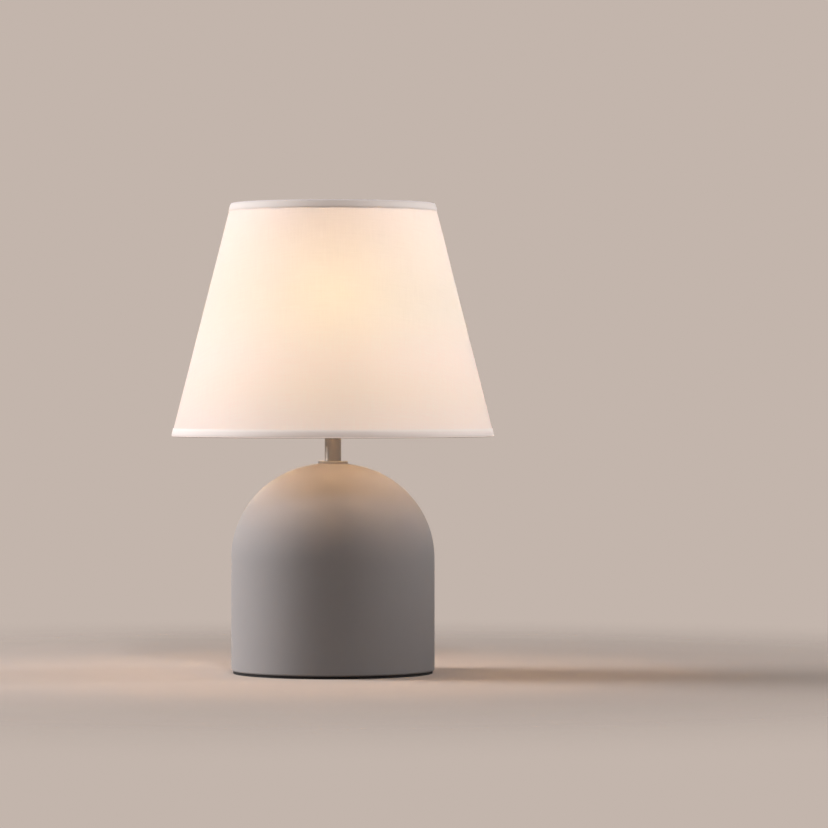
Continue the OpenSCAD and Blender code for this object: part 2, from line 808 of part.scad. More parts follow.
module bottom_hem() {
    color("#d9c2ac") difference() {
        rotate_extrude() hem_outline(0, 1);
        each_arm() arm(bond_gap);
    }
}

module top_hem() {
    color("#d9c2ac") rotate_extrude() hem_outline(shade_h, -1);
}

// Bulb: heights are measured from its tip
globe_r = globe_d / 2;
globe_h = bulb_len - globe_r;
tip_r = 4.5;
tip_h = 1.2;
tip_edge = 0.5;
insulator_top_h = 4.6;
insulator_r = 9.5;
cap_start_h = 6;
cap_r = cap_thread_d / 2;
cap_floor_h = insulator_top_h - cap_wall;
housing_top_h = globe_edge_h - turn_gap;
housing_top_r = sqrt(pow(globe_r, 2) - pow(globe_h - housing_top_h, 2));
housing_bend = [housing_r + tip_edge, housing_top_h - globe_r / 3];
board_top_h = housing_top_h - turn_gap;
board_t = 1.2;
spreader_t = 1.5;
spreader_r = housing_r - housing_wall - slide_gap;
board_r = housing_top_r - housing_wall - globe_r / 15;
driver_w = 2 * (cap_r - cap_thread_depth - cap_wall - move_gap);
chip = [2.8, 3.5, 0.8];
can_r = 4;
can_h = 12;
coil = [6.5, 10, 8];

// Thread of the cap as a wave, drawn in by inset
function cap_wave(inset) = [
    for (i = [0:cap_turns * 8])
        let (depth = cap_thread_depth / 2 * (1 + cos(45 * i)))
        [cap_r - depth - inset, cap_start_h + i * cap_pitch / 8]
];

// Curve from the housing's lower end to the globe's edge, drawn in by inset
function housing_curve(inset) = [
    for (i = [0:10])
        let (
            t = i / 10,
            start = [housing_r, housing_start_h],
            end = [housing_top_r, housing_top_h]
        )
        pow(1 - t, 2) * start + 2 * t * (1 - t) * housing_bend + pow(t, 2) * end - [inset, 0]
];

module bulb_contact() {
    color("#b9bcc0") translate([0, 0, bulb_z]) rotate_extrude() polygon([
        [0, 0], [tip_r - tip_edge, 0], [tip_r, tip_edge], [tip_r, tip_h], [0, tip_h]
    ]);
}

module bulb_insulator() {
    color("#1d1d1f") translate([0, 0, bulb_z]) rotate_extrude() polygon([
        [0, tip_h],
        [tip_r + tip_edge, tip_h],
        [insulator_r, cap_floor_h],
        [insulator_r, insulator_top_h + tip_edge],
        [0, insulator_top_h + tip_edge]
    ]);
}

module bulb_cap() {
    collar_top_h = housing_start_h + cap_pitch;
    collar_start_h = cap_start_h + (cap_turns + 1 / 2) * cap_pitch;
    collar_r = housing_r - housing_wall - slide_gap;
    outer = concat(
        [[insulator_r + slide_gap, cap_floor_h], [insulator_r + 2 * tip_edge, cap_floor_h]],
        cap_wave(0),
        [[collar_r, collar_start_h], [collar_r, collar_top_h]]
    );
    inner = concat(
        [[insulator_r + slide_gap, insulator_top_h + cap_wall]],
        cap_wave(cap_wall),
        [[collar_r - cap_wall, collar_start_h], [collar_r - cap_wall, collar_top_h]]
    );
    reversed = [for (i = [len(inner) - 1:-1:0]) inner[i]];
    color("#c9c7c2") translate([0, 0, bulb_z]) rotate_extrude() polygon(concat(outer, reversed));
}

module bulb_housing() {
    inner = housing_curve(housing_wall);
    reversed = [for (i = [len(inner) - 1:-1:0]) inner[i]];
    color("#f2f0ec") translate([0, 0, bulb_z]) rotate_extrude()
        polygon(concat(housing_curve(0), reversed));
}

module heat_spreader() {
    top_h = board_top_h - board_t;
    skirt_h = housing_start_h + 4 * tip_h;
    color("#c4c6c8") translate([0, 0, bulb_z]) rotate_extrude() polygon([
        [spreader_r - spreader_t, skirt_h],
        [spreader_r, skirt_h],
        [spreader_r, top_h - 3 * spreader_t],
        [board_r, top_h - spreader_t],
        [board_r, top_h],
        [0, top_h],
        [0, top_h - spreader_t],
        [spreader_r - spreader_t, top_h - spreader_t]
    ]);
}

module light_board() {
    color("#f4f4f2") translate([0, 0, bulb_z + board_top_h - board_t]) cylinder(r = board_r, h = board_t);
}

module light_chips() {
    color("#f5e27a") for (i = [0:chip_count - 1]) rotate(360 * i / chip_count)
        translate([board_r * 2 / 3 - chip[0] / 2, -chip[1] / 2, bulb_z + board_top_h]) cube(chip);
}

module driver_board() {
    low_h = cap_start_h + cap_pitch;
    color("#3f7a4a") translate([-board_t / 2, -driver_w / 2, bulb_z + low_h])
        cube([board_t, driver_w, housing_start_h + 8 * tip_h - low_h]);
}

module driver_parts() {
    low_h = cap_start_h + 2 * cap_pitch;
    color("#2b2b2e") translate([0, 0, bulb_z + low_h]) {
        translate([board_t / 2 + can_r, 0, can_h / 2]) cylinder(r = can_r, h = can_h);
        translate([-board_t / 2 - coil[0], -coil[1] / 2, 0]) cube(coil);
    }
}

module bulb_globe() {
    color("#fff3dc") translate([0, 0, bulb_z]) rotate_extrude() intersection() {
        difference() {
            translate([0, globe_h]) circle(r = globe_r);
            translate([0, globe_h]) circle(r = globe_r - globe_wall);
        }
        translate([0, globe_edge_h]) square([globe_r + cut, bulb_len]);
    }
}

foot_pad();
base_plate();
base_dome();
cord_grommet();
terminal_block();
brass_terminals();
terminal_screws();
block_screw();
brown_lead();
blue_lead();
inner_nut();
inner_washer();
threaded_rod();
neck_washer();
neck_tube();
holder_cap();
holder_grub_screw();
holder_insert();
holder_screws();
centre_contact();
side_contact();
holder_shell();
lower_ring();
clamp_ring();
fitter_ring();
fitter_arms();
bottom_ring_wire();
top_ring_wire();
shade_fabric();
shade_liner();
bottom_hem();
top_hem();
bulb_contact();
bulb_insulator();
bulb_cap();
bulb_housing();
heat_spreader();
light_board();
light_chips();
driver_board();
driver_parts();
bulb_globe();
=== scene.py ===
"""Looks for a table lamp: ceramic base, metal neck, woven shade and lit bulb.

Every length is in metres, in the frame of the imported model. -Y is the front, +Y the back.
"""
import json
import math

import bpy
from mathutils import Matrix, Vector


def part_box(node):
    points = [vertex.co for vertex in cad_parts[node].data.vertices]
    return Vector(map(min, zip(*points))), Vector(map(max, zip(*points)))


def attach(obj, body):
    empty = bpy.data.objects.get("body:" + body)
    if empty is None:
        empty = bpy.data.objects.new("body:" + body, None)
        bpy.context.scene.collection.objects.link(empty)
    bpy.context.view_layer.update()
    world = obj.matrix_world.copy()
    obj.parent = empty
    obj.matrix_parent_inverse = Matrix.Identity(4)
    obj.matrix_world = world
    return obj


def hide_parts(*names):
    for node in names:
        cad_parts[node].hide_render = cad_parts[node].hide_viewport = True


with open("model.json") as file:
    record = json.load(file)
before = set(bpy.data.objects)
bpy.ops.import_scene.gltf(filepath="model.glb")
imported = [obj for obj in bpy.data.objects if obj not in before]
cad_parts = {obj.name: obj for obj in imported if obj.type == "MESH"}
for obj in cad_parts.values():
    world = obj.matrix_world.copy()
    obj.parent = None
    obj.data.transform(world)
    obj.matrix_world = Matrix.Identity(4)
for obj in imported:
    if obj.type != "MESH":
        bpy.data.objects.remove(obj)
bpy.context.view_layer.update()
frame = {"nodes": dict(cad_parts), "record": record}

nodes = frame["nodes"]
MM = 0.001
TAU = 2 * math.pi
QUARTER = math.pi / 2
# Angle of the lamp's back, round the Z axis
BACK = QUARTER

# Packed boxes that the shade is measured from, each as (lowest corner, highest corner)
low_hem, high_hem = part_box("bottom_hem"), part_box("top_hem")
low_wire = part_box("bottom_ring_wire")
# The shade's lower and upper edges, and the width of the overlap at its back
SHADE_LOW, SHADE_TOP = low_hem[0].z, high_hem[1].z
SEAM_W = 9 * MM


def smooth(lo, hi, x):
    """0 below lo, 1 above hi, and an even curve between them."""
    t = max(0.0, min(1.0, (x - lo) / (hi - lo)))
    return t * t * (3 - 2 * t)


# Materials

# Range that most of a noise pattern's values lie in
NOISE_LO, NOISE_HI = 0.3, 0.7
# Width of the cloth's threads, and its slubs' turns per metre across and along a thread
THREAD = 0.62 * MM
SLUB_ACROSS, SLUB_ALONG = 1300, 45
# How strongly cloth and film bend light
FIBRE_IOR = 1.45
# Warm light of the bulb, and how much brighter than white paper its globe is
BULB_COLOUR = (1.0, 0.64, 0.32)
BULB_LIGHT = 22.0
GREY = (0.354, 0.329, 0.325)
CLOTH = (0.77, 0.705, 0.75)
# Painted glow on the cloth for the bulb's light that the shade's white inside evens out, as (share
# of the shade's height, colour)
CLOTH_GLOW = [
    (0.07, (0.37, 0.305, 0.265)), (0.20, (0.385, 0.315, 0.265)), (0.33, (0.375, 0.315, 0.28)),
    (0.46, (0.29, 0.285, 0.26)), (0.60, (0.22, 0.243, 0.232)), (0.72, (0.205, 0.228, 0.23)),
    (0.85, (0.22, 0.22, 0.225)), (0.95, (0.235, 0.22, 0.225)),
]
# Painted glow of the folded trims, as (share of the shade's height, colour). It is dimmest at the
# very bottom and at the lower edge of the top trim: painted dark lines where the wire and the
# doubled cloth let less of the bulb's light through.
TRIM_GLOW = [
    (0.0, (0.03, 0.02, 0.015)), (0.005, (0.12, 0.105, 0.10)), (0.024, (0.20, 0.185, 0.18)),
    (0.036, (0.27, 0.24, 0.235)), (0.964, (0.05, 0.035, 0.025)), (0.972, (0.15, 0.13, 0.12)),
    (0.988, (0.16, 0.14, 0.13)), (1.0, (0.13, 0.105, 0.095)),
]
# Painted glow of the overlap, one even tone, since the overlap lets less of the bulb's light
# through
SEAM_GLOW = (0.25, 0.195, 0.16)


class Nodes:
    """Short calls for building a node tree."""

    def __init__(self, tree):
        self.tree = tree
        tree.nodes.clear()

    def add(self, kind, **sockets):
        """Adds a node. Keywords are its properties, or its inputs by name with _ for a space.

        in0, in1 and so on are its inputs by number.
        """
        node = self.tree.nodes.new("ShaderNode" + kind)
        for key, value in sockets.items():
            name = key.replace("_", " ")
            target = node.inputs.get(name)
            if key.startswith("in") and key[2:].isdigit():
                target = node.inputs[int(key[2:])]
            if target is None:
                setattr(node, key, value)
            elif isinstance(value, bpy.types.NodeSocket):
                self.tree.links.new(value, target)
            else:
                target.default_value = value
        return node

    def math(self, operation, a, b=0.0, c=0.0):
        """One math node's result."""
        return self.add("Math", operation=operation, in0=a, in1=b, in2=c).outputs[0]

    def noise(self, vector, scale, detail=3.0, roughness=0.5):
        """A noise pattern from 0 to 1."""
        return self.add("TexNoise", Vector=vector, Scale=scale, Detail=detail,
                        Roughness=roughness).outputs["Fac"]

    def span(self, value, from_lo, from_hi, to_lo, to_hi):
        """value, moved from one range to another."""
        return self.add("MapRange", Value=value, From_Min=from_lo, From_Max=from_hi,
                        To_Min=to_lo, To_Max=to_hi).outputs["Result"]

    def mix(self, share, a, b):
        """A colour between a and b."""
        node = self.add("Mix", data_type="RGBA")
        for socket, value in ((node.inputs[0], share), (node.inputs[6], a), (node.inputs[7], b)):
            if isinstance(value, bpy.types.NodeSocket):
                self.tree.links.new(value, socket)
            elif hasattr(value, "__len__"):
                socket.default_value = (*value[:3], 1.0)
            else:
                socket.default_value = value
        return node.outputs[2]

    def stretched(self, vector, scale):
        """A coordinate scaled along each axis."""
        return self.add("Mapping", Vector=vector, Scale=scale).outputs["Vector"]

    def shared(self, share, a, b):
        """A shader between a and b."""
        return self.add("MixShader", in0=share, in1=a, in2=b).outputs[0]

    def end(self, surface):
        """Sets the material's or world's surface."""
        is_world = isinstance(self.tree.id_data, bpy.types.World)
        self.add("OutputWorld" if is_world else "OutputMaterial", Surface=surface)


def new_material(name):
    """A material and the helper for its nodes."""
    mat = bpy.data.materials.new(name)
    mat.use_nodes = True
    return mat, Nodes(mat.node_tree)


def scaled(colour, share):
    """A colour made lighter or darker."""
    return tuple(min(1.0, c * share) for c in colour)


def surface(name, colour, rough, metal=0.0, grain=1500.0, relief=0.02, mottle=0.05,
            patch=70.0, stretch=(1, 1, 1), uneven=0.08, coat=0.0, glow=None):
    """A solid material: colour that drifts in patches, fine grain in its relief and uneven gloss.

    grain and patch are in turns per metre, and relief is in mm. mottle is how far the colour
    drifts each way, and uneven how far the roughness does. glow is a colour and its strength.
    """
    mat, n = new_material(name)
    place = n.add("TexCoord").outputs["Object"]
    fine = n.noise(n.stretched(place, stretch), grain, 4.0, 0.6)
    wide = n.noise(place, patch, 2.0)
    both = n.math("MULTIPLY_ADD", fine, 0.4, n.math("MULTIPLY", wide, 0.6))
    tint = n.mix(both, scaled(colour, 1 - mottle), scaled(colour, 1 + mottle))
    gloss = n.span(fine, NOISE_LO, NOISE_HI, max(0.02, rough - uneven), min(1.0, rough + uneven))
    bump = n.add("Bump", Strength=1.0, Distance=relief * MM, Height=fine)
    shader = n.add("BsdfPrincipled", Base_Color=tint, Roughness=gloss, Metallic=metal,
                   Coat_Weight=coat, Normal=bump.outputs["Normal"])
    if glow:
        shader.inputs["Emission Color"].default_value = (*glow[0], 1.0)
        shader.inputs["Emission Strength"].default_value = glow[1]
    n.end(shader.outputs["BSDF"])
    return mat


def painted_glow(n, glow, slub):
    """Painted glow that cloth gives off: by height, one even tone over the seam, less at slubs."""
    place = n.add("SeparateXYZ", Vector=n.add("TexCoord").outputs["Object"])
    height_share = n.span(place.outputs["Z"], SHADE_LOW, SHADE_TOP, 0.0, 1.0)
    ramp = n.add("ValToRGB", Fac=height_share)
    for k, (share, light) in enumerate(glow):
        # A new ramp already has two stops
        stop = ramp.color_ramp.elements[k] if k < 2 else ramp.color_ramp.elements.new(share)
        stop.position = share
        stop.color = (*light, 1.0)
    ramp.color_ramp.interpolation = "CARDINAL"
    # 0 on the seam and 1 beside it, with a soft edge at half of its width
    aside = n.math("ABSOLUTE", place.outputs["X"])
    off_seam = n.span(aside, 0.44 * SEAM_W, 0.56 * SEAM_W, 0.0, 1.0)
    in_front = n.math("LESS_THAN", place.outputs["Y"], 0.0)
    single = n.math("MAXIMUM", off_seam, in_front)
    shine = n.mix(single, SEAM_GLOW, ramp.outputs["Color"])
    return n.mix(n.span(slub, NOISE_LO, NOISE_HI, 0.0, 0.08), shine, (0.0, 0.0, 0.0))


def cloth(name, colour, through, glow, forward, open_share):
    """Plain-woven cloth over a lit bulb: threads, slubs, light that comes through, and a painted
    glow.

    The threads follow the sheet's own flat coordinates, which its UV map holds in metres.
    open_share is the share of the light that goes through, tinted by through, and forward the
    share of that which is bent on its way and not scattered to all sides.
    """
    mat, n = new_material(name)
    flat = n.add("UVMap", uv_map="flat").outputs["UV"]
    parts = n.add("SeparateXYZ", Vector=flat)
    turns = math.pi / THREAD
    warp = n.math("SINE", n.math("MULTIPLY", parts.outputs["X"], turns))
    weft = n.math("SINE", n.math("MULTIPLY", parts.outputs["Y"], turns))
    weave = n.math("ABSOLUTE", n.math("MULTIPLY", warp, weft))
    warp_slub = n.noise(n.stretched(flat, (SLUB_ACROSS, SLUB_ALONG, 1)), 1.0, 3.0, 0.55)
    weft_slub = n.noise(n.stretched(flat, (SLUB_ALONG, SLUB_ACROSS, 1)), 1.0, 3.0, 0.55)
    slub = n.math("MULTIPLY", n.math("ADD", warp_slub, weft_slub), 0.5)
    cloud = n.noise(flat, 28.0, 2.0)
    body = n.math("MULTIPLY_ADD", slub, 0.7, n.math("MULTIPLY", cloud, 0.3))
    tint = n.mix(n.span(body, NOISE_LO, NOISE_HI, 0.0, 1.0),
                 scaled(colour, 0.93), scaled(colour, 1.03))
    lets = n.mix(n.span(slub, NOISE_LO, NOISE_HI, 0.0, 1.0),
                 scaled(through, 1.04), scaled(through, 0.90))
    height = n.math("MULTIPLY_ADD", slub, 0.8, n.math("MULTIPLY", weave, 0.5))
    normal = n.add("Bump", Strength=0.6, Distance=0.12 * MM, Height=height).outputs["Normal"]
    front = n.add("BsdfPrincipled", Base_Color=tint, Roughness=0.9, Normal=normal)
    front.inputs["Sheen Weight"].default_value = 0.15
    front.inputs["Sheen Roughness"].default_value = 0.5
    n.tree.links.new(painted_glow(n, glow, slub), front.inputs["Emission Color"])
    # The front has only this share of the whole material, so its glow is raised to make up for it
    front.inputs["Emission Strength"].default_value = 1 / (1 - open_share)
    spread = n.add("BsdfTranslucent", Color=lets, Normal=normal)
    ahead = n.add("BsdfRefraction", Color=lets, Roughness=1.0, IOR=FIBRE_IOR, Normal=normal)
    sent = n.shared(forward, spread.outputs[0], ahead.outputs[0])
    n.end(n.shared(open_share, front.outputs[0], sent))
    return mat


def film():
    """Opal film behind the cloth: it spreads the light and lets much of it through."""
    mat, n = new_material("film")
    place = n.add("TexCoord").outputs["Object"]
    drift = n.noise(place, 60.0, 2.0)
    tint = n.mix(drift, (0.91, 0.88, 0.83), (0.95, 0.92, 0.87))
    bump = n.add("Bump", Strength=0.5, Distance=0.02 * MM, Height=n.noise(place, 900.0, 2.0))
    front = n.add("BsdfPrincipled", Base_Color=tint, Roughness=0.45, Normal=bump.outputs["Normal"])
    spread = n.add("BsdfTranslucent", Color=tint)
    ahead = n.add("BsdfRefraction", Color=tint, Roughness=0.8, IOR=FIBRE_IOR)
    sent = n.shared(0.4, spread.outputs[0], ahead.outputs[0])
    n.end(n.shared(0.35, front.outputs[0], sent))
    return mat


# What surface() is called with for each slot that is one solid material
SOLID_LOOKS = {
    "ceramic_grey": dict(colour=GREY, rough=0.82, grain=1100, relief=0.03, mottle=0.035,
                         patch=35),
    # The washer has the base's grey paint, made lighter as painted light, because its upright rim
    # gets less light than the dome
    "washer_grey": dict(colour=scaled(GREY, 1.12), rough=0.70, grain=2200, relief=0.015,
                        mottle=0.03),
    "foam_black": dict(colour=(0.012, 0.011, 0.011), rough=0.95, grain=900, relief=0.12,
                       mottle=0.3),
    "rubber_black": dict(colour=(0.018, 0.017, 0.017), rough=0.75, relief=0.02, mottle=0.2),
    "plate_steel": dict(colour=(0.33, 0.34, 0.35), rough=0.42, metal=1.0, grain=700,
                        stretch=(0.05, 1, 1)),
    "zinc_steel": dict(colour=(0.52, 0.53, 0.55), rough=0.36, metal=1.0, grain=1800,
                       relief=0.01, mottle=0.10, patch=400),
    "satin_nickel": dict(colour=(0.31, 0.275, 0.245), rough=0.40, metal=1.0, grain=1800,
                         relief=0.004, mottle=0.05, patch=120, stretch=(1, 1, 0.03),
                         uneven=0.05),
    "block_plastic": dict(colour=(0.70, 0.67, 0.58), rough=0.5),
    "brass": dict(colour=(0.60, 0.40, 0.13), rough=0.32, metal=1.0, grain=1600, relief=0.008,
                  mottle=0.08, patch=300),
    "lead_brown": dict(colour=(0.13, 0.055, 0.025), rough=0.38),
    "lead_blue": dict(colour=(0.03, 0.11, 0.30), rough=0.38),
    "holder_white": dict(colour=(0.76, 0.74, 0.70), rough=0.42, grain=2600, relief=0.012,
                         mottle=0.03),
    "screw_black": dict(colour=(0.04, 0.04, 0.04), rough=0.5, metal=1.0),
    "insert_ceramic": dict(colour=(0.82, 0.80, 0.75), rough=0.35, relief=0.015, coat=0.3),
    "wire_white": dict(colour=(0.80, 0.78, 0.74), rough=0.45, grain=900, relief=0.03,
                       mottle=0.03),
    "tip_metal": dict(colour=(0.55, 0.54, 0.52), rough=0.35, metal=1.0, grain=2000,
                      relief=0.01, mottle=0.15, patch=500),
    "cap_nickel": dict(colour=(0.66, 0.64, 0.60), rough=0.24, metal=1.0, grain=1500,
                       relief=0.008, mottle=0.06, patch=200),
    "insulator_black": dict(colour=(0.012, 0.012, 0.013), rough=0.12, coat=0.5),
    "bulb_white": dict(colour=(0.86, 0.84, 0.80), rough=0.35, relief=0.008, mottle=0.02),
    "globe_opal": dict(colour=(0.95, 0.90, 0.80), rough=0.40, relief=0.01, mottle=0.02,
                       glow=(BULB_COLOUR, BULB_LIGHT)),
    "spreader_metal": dict(colour=(0.60, 0.60, 0.61), rough=0.40, metal=1.0, grain=900,
                           relief=0.01),
    "board_white": dict(colour=(0.85, 0.85, 0.83), rough=0.40),
    "board_green": dict(colour=(0.05, 0.20, 0.07), rough=0.35, grain=2400, relief=0.02,
                        mottle=0.15),
    "parts_dark": dict(colour=(0.03, 0.03, 0.035), rough=0.45),
    "chip_yellow": dict(colour=(0.90, 0.75, 0.20), rough=0.35, glow=((1.0, 0.80, 0.50), 4.0)),
}
looks = {name: surface(name, **look) for name, look in SOLID_LOOKS.items()}
looks["shade_cloth"] = cloth("shade_cloth", CLOTH, (0.72, 0.70, 0.665), CLOTH_GLOW,
                             forward=0.65, open_share=0.58)
looks["trim_cloth"] = cloth("trim_cloth", (0.86, 0.84, 0.835), (0.80, 0.68, 0.56), TRIM_GLOW,
                            forward=0.0, open_share=0.28)
looks["film"] = film()


# Geometry

# The shade's cone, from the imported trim
SHADE_H = SHADE_TOP - SHADE_LOW
R_LOW = low_hem[1].x
R_TOP = R_LOW - (R_LOW - high_hem[1].x) * SHADE_H / (high_hem[0].z - SHADE_LOW)
# How much of a full turn the cone takes up when it is laid flat
SLANT_SHARE = (R_LOW - R_TOP) / math.hypot(R_LOW - R_TOP, SHADE_H)
HEM_H = low_hem[1].z - SHADE_LOW
# Thickness of the trim over the cloth, the cloth, the film and the trim's own tape
HEM_T, CLOTH_T, FILM_T, TAPE_T = 0.4 * MM, 0.5 * MM, 0.35 * MM, 0.35 * MM
# Air between layers that lie on each other
AIR = 0.05 * MM
# Width over which the step of the overlap fades out beside it
SEAM_EASE = 3 * MM


def make_piece(name, verts, faces, body, slot, stands_for=(), mats=None, face_mats=None,
               uvs=None, sharp=40.0):
    """One mesh object that rides on a body, with its material slot and the nodes it stands for."""
    mesh = bpy.data.meshes.new(name)
    mesh.from_pydata([tuple(v) for v in verts], [], faces)
    for mat in mats or [looks[slot]]:
        mesh.materials.append(mat)
    if face_mats:
        mesh.polygons.foreach_set("material_index", face_mats)
    if uvs:
        layer = mesh.uv_layers.new(name="flat")
        for loop in mesh.loops:
            layer.data[loop.index].uv = uvs[loop.vertex_index]
    mesh.polygons.foreach_set("use_smooth", [True] * len(mesh.polygons))
    mesh.set_sharp_from_angle(angle=math.radians(sharp))
    mesh.validate()
    obj = bpy.data.objects.new(name, mesh)
    bpy.context.scene.collection.objects.link(obj)
    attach(obj, body)
    if stands_for:
        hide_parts(*stands_for)
    return obj


def ring_faces(count_u, count_v, flip):
    """Quads of a closed section swept round the axis: vertex (i, j) is number i * count_v + j."""
    faces = []
    for i in range(count_u):
        k = (i + 1) % count_u
        for j in range(count_v):
            m = (j + 1) % count_v
            quad = (i * count_v + j, k * count_v + j, k * count_v + m, i * count_v + m)
            faces.append(quad[::-1] if flip else quad)
    return faces


def shade_r(rise):
    """Outer radius of the shade at a height above its lower edge."""
    return R_LOW + (R_TOP - R_LOW) * rise / SHADE_H


def flat_place(angle, rise):
    """Where a point of the cone lies in the flat cloth.

    angle is from the front, and the cloth's straight threads run upright there.
    """
    reach = shade_r(rise) / SLANT_SHARE
    turn = angle * SLANT_SHARE
    return (reach * math.sin(turn), -reach * math.cos(turn))


def seam_lift(angle, r):
    """How far the overlap at the back lifts what lies over it. angle is from the back."""
    off = abs((angle + math.pi) % TAU - math.pi) * r
    return CLOTH_T * (1 - smooth(SEAM_W / 2, SEAM_W / 2 + SEAM_EASE, off))


def waviness(angle, rise, size=0.10 * MM):
    """Very slight unevenness of a stretched sheet, the same on every run."""
    a = math.sin(5 * angle + 1.3) * math.sin(rise * 31 + 0.7)
    b = math.sin(11 * angle + 4.1) * math.sin(rise * 57 + 2.2)
    return size * (0.6 * a + 0.4 * b)


def build_cloth():
    """The cloth and the film behind it, one laminated sheet that overlaps itself at the back."""
    around, up = 264, 44
    ease_steps = 4
    edge = HEM_T + AIR
    mid_r = shade_r(SHADE_H / 2)
    half = SEAM_W / 2 / mid_r
    ease = SEAM_EASE / mid_r
    # Angles from the back, finer where the sheet climbs over its own start
    steps = [-half + (TAU + 2 * half) * i / around for i in range(around + 1)]
    steps += [TAU - half - ease * (1 - k / ease_steps) for k in range(ease_steps)]
    steps = sorted(steps + [half])
    verts, uvs = [], []
    for layer in (0, 1):
        for s in steps:
            for j in range(up + 1):
                rise = edge + (SHADE_H - 2 * edge) * j / up
                lift = (CLOTH_T + FILM_T + AIR) * smooth(TAU - half - ease, TAU - half, s)
                depth = HEM_T + layer * (CLOTH_T + FILM_T) - lift
                r = shade_r(rise) - depth + waviness(s, rise)
                angle = BACK + s
                verts.append((r * math.cos(angle), r * math.sin(angle), SHADE_LOW + rise))
                uvs.append(flat_place(s - math.pi, rise))
    rows, cols = len(steps), up + 1
    faces, mats = [], []
    # The cloth's face and the film's
    for layer in (0, 1):
        base = layer * rows * cols
        for i in range(rows - 1):
            for j in range(up):
                quad = (base + i * cols + j, base + (i + 1) * cols + j,
                        base + (i + 1) * cols + j + 1, base + i * cols + j + 1)
                faces.append(quad if layer == 0 else quad[::-1])
                mats.append(layer)
    inner = rows * cols
    # The lower and upper edges
    for i in range(rows - 1):
        for j in (0, up):
            a, b = i * cols + j, (i + 1) * cols + j
            quad = (a, inner + a, inner + b, b)
            faces.append(quad if j == 0 else quad[::-1])
            mats.append(0)
    # The two ends at the seam
    for j in range(up):
        for i in (0, rows - 1):
            a, b = i * cols + j, i * cols + j + 1
            quad = (a, b, inner + b, inner + a)
            faces.append(quad if i == 0 else quad[::-1])
            mats.append(0)
    return make_piece("shade_cloth", verts, faces, "shade", "shade_cloth",
                      ("shade_fabric", "shade_liner"), mats=[looks["shade_cloth"], looks["film"]],
                      face_mats=mats, uvs=uvs, sharp=60)


WIRE_R = (low_wire[1].z - low_wire[0].z) / 2
WIRE_RISE = (low_wire[1].z + low_wire[0].z) / 2 - SHADE_LOW
WIRE_DEPTH = shade_r(WIRE_RISE) - (low_wire[1].x - WIRE_R)


def tape_path():
    """The folded trim's outer face as (depth, rise).

    It runs down the outside, round the wire and up the inside.
    """
    nose = 2.2 * MM
    nose_steps, wrap_steps = 6, 14
    wrap_turn = math.radians(205)
    wrap = WIRE_R + HEM_T + AIR
    path = [(0.0, HEM_H), (0.0, HEM_H * 0.72), (0.0, HEM_H * 0.45)]
    for i in range(nose_steps + 1):
        a = math.pi + QUARTER * i / nose_steps
        path.append((nose + nose * math.cos(a), nose + nose * math.sin(a)))
    path.append((WIRE_DEPTH - 0.6 * MM, 0.0))
    for i in range(wrap_steps + 1):
        a = -QUARTER + wrap_turn * i / wrap_steps
        path.append((WIRE_DEPTH + wrap * math.cos(a), WIRE_RISE + wrap * math.sin(a)))
    inside = HEM_T + CLOTH_T + FILM_T + 0.15 * MM + TAPE_T
    path += [(inside + AIR, WIRE_RISE + wrap * 1.12), (inside, HEM_H * 0.8),
             (inside, HEM_H - 0.3 * MM)]
    return path


def offset_path(path, t):
    """The path moved by t to its left, with bends cut at the mean of their two sides."""
    moved = []
    for i, (x, y) in enumerate(path):
        ax, ay = path[max(i - 1, 0)]
        bx, by = path[min(i + 1, len(path) - 1)]
        d = math.hypot(bx - ax, by - ay)
        moved.append((x - (by - ay) / d * t, y + (bx - ax) / d * t))
    return moved


def hem_ripple(turn, top):
    """How far the trim's cut edge wanders up and down."""
    long_wave = 0.09 * MM * math.sin(17 * turn + 1.1 * top)
    return long_wave + 0.06 * MM * math.sin(41 * turn + 2.0)


def build_hem(name, top):
    """Folded cloth trim over a ring wire, with its joint beside the shade's seam."""
    around = 288
    # The joint's place from the back, how far it stands out, and where that fades
    joint = math.radians(-7 if top else 6)
    joint_t, joint_in, joint_out = 0.3 * MM, 3.5 * MM, 4.2 * MM
    # Depths between which the trim's outside ends, so that only it is lifted
    skin_in, skin_out = 0.5 * MM, 1.6 * MM
    # The stiff trim bridges the seam's overlap, so it lifts further than the cloth is thick
    bridge = 1.8
    outer = tape_path()
    inner = offset_path(outer, TAPE_T)
    section = outer + inner[::-1]
    length = [0.0]
    for (ax, ay), (bx, by) in zip(section, section[1:]):
        length.append(length[-1] + math.hypot(bx - ax, by - ay))
    verts, uvs = [], []
    for i in range(around):
        turn = TAU * i / around
        angle = BACK + turn
        for k, (depth, rise) in enumerate(section):
            high = smooth(HEM_H * 0.5, HEM_H, rise)
            rise_here = rise + high * hem_ripple(turn, top)
            h = SHADE_H - rise_here if top else rise_here
            r = shade_r(h)
            outside = 1 - smooth(skin_in, skin_out, depth)
            lift = seam_lift(turn, r) * bridge
            off = abs((turn - joint + math.pi) % TAU - math.pi) * r
            lift += joint_t * (1 - smooth(joint_in, joint_out, off))
            rr = r - depth + lift * outside + waviness(turn, 0.0, 0.06 * MM)
            verts.append((rr * math.cos(angle), rr * math.sin(angle), SHADE_LOW + h))
            uvs.append((turn * R_LOW, length[k]))
    faces = ring_faces(around, len(section), flip=not top)
    return make_piece(name, verts, faces, "shade", "trim_cloth",
                      (("top_hem" if top else "bottom_hem"),), uvs=uvs, sharp=50)


